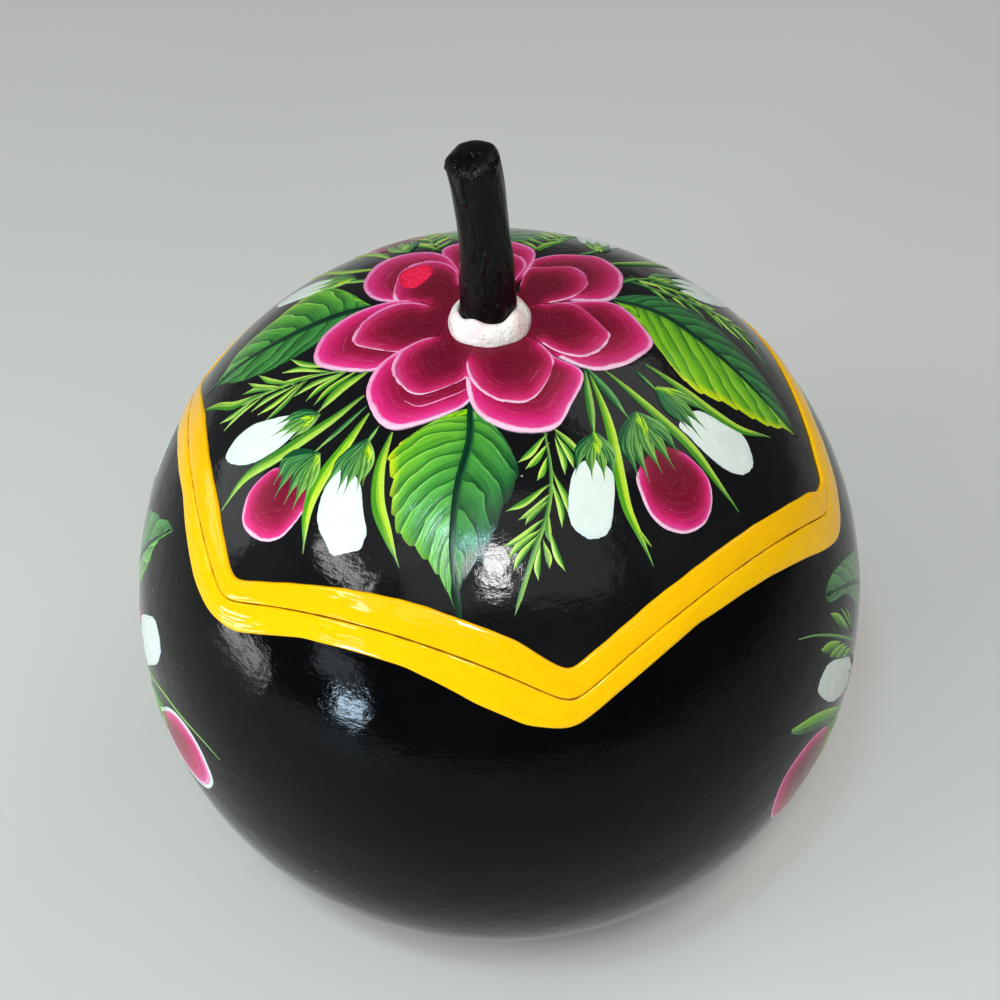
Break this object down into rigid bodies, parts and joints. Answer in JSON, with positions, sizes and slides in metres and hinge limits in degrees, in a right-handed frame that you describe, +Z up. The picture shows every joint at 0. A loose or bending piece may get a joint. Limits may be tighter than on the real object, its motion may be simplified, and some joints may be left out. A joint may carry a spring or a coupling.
{
  "type": "lidded gourd box",
  "caption": "Round gourd box cut into a bowl and a lift-off lid along a zigzag edge, black lacquer with yellow rim beads, painted blossoms and a stem handle.",
  "frame": {"origin": "centre of the flat foot, on the ground under the middle of the gourd", "axes": "+Z up through the stem, -Y towards the front as pictured, +X to the right seen from the front"},
  "size_m": [0.18, 0.18, 0.2092],
  "materials": {
    "lacquer": "glossy black lacquer over gourd shell",
    "rim_paint": "thick glossy warm yellow paint",
    "stem_lacquer": "glossy black lacquer over a dry gourd stem",
    "paste": "dull off-white paste, slightly lumpy"
  },
  "bodies": {
    "bowl": {"bowl": "lacquer", "bowl_rim_bead": "rim_paint"},
    "lid": {"lid": "lacquer", "lid_rim_bead": "rim_paint", "stem": "stem_lacquer", "stem_collar": "paste"}
  },
  "joints": [
    {"name": "lid_lift", "type": "slide", "parent": "bowl", "child": "lid", "axis": [0, 0, 1], "range_m": [0, 0.14]}
  ]
}
